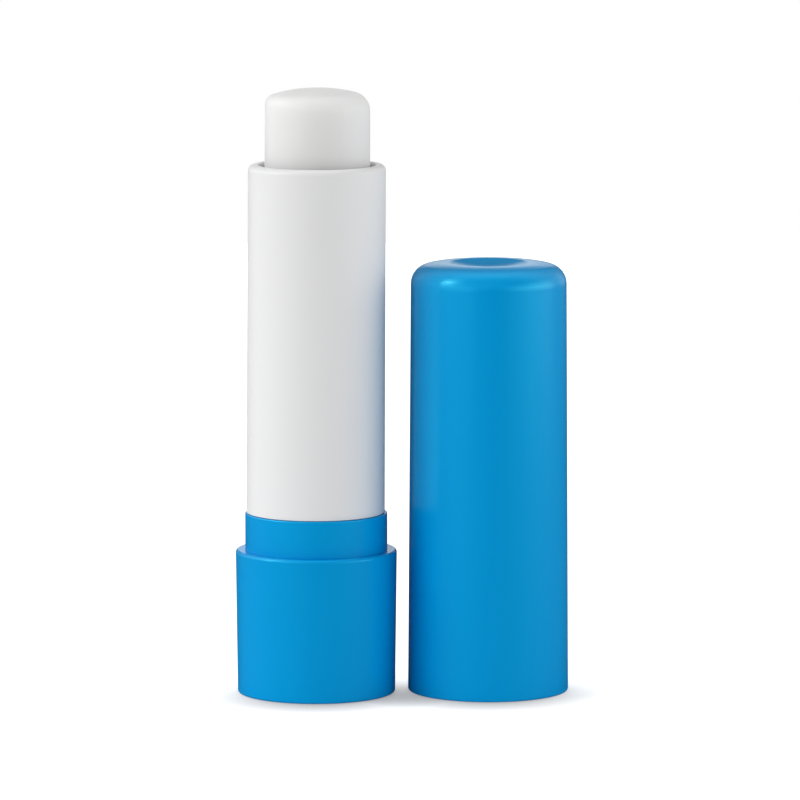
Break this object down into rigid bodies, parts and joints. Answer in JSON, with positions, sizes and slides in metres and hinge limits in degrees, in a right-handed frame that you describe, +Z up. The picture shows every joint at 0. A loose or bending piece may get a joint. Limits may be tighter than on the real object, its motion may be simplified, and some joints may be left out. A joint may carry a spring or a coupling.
{
  "type": "lip balm stick",
  "caption": "Round twist-up lip balm stick with a swivel mechanism inside; the balm is part raised and its dish-topped cap stands beside it.",
  "frame": {"origin": "centre of the stick's foot, on the surface that it stands on", "axes": "+Z up the stick, from its foot to the balm's tip; +X from the stick towards its cap; +Y away from the viewer"},
  "size_m": [0.0393, 0.0204, 0.0716],
  "materials": {
    "blue_plastic": "smooth moulded plastic with a soft sheen",
    "white_plastic": "smooth white moulded plastic",
    "natural_plastic": "uncoloured moulded plastic, slightly translucent",
    "balm_wax": "smooth off-white wax with a soft sheen"
  },
  "bodies": {
    "base": {"base_shell": "blue_plastic", "collar": "blue_plastic", "inner_body": "natural_plastic"},
    "barrel": {"tube": "white_plastic", "spiral_sleeve": "white_plastic"},
    "carrier": {"carrier_cup": "natural_plastic", "balm": "balm_wax"},
    "cap_body": {"cap": "blue_plastic"}
  },
  "joints": [
    {"name": "tube_turn", "type": "hinge", "parent": "base", "child": "barrel", "pos_m": [0, 0, 0.03], "axis": [0, 0, -1], "range_deg": [-211.5, 508.5]},
    {"name": "balm_rise", "type": "slide", "parent": "base", "child": "carrier", "axis": [0, 0, 1], "range_m": [-0.0094, 0.0226]},
    {"name": "cap_lift", "type": "slide", "parent": "base", "child": "cap_body", "axis": [0, 0, 1], "range_m": [0, 0.075]}
  ],
  "couplings": [
    {"joint": "balm_rise", "follows": "tube_turn", "m_per_rad": 0.0025465}
  ]
}
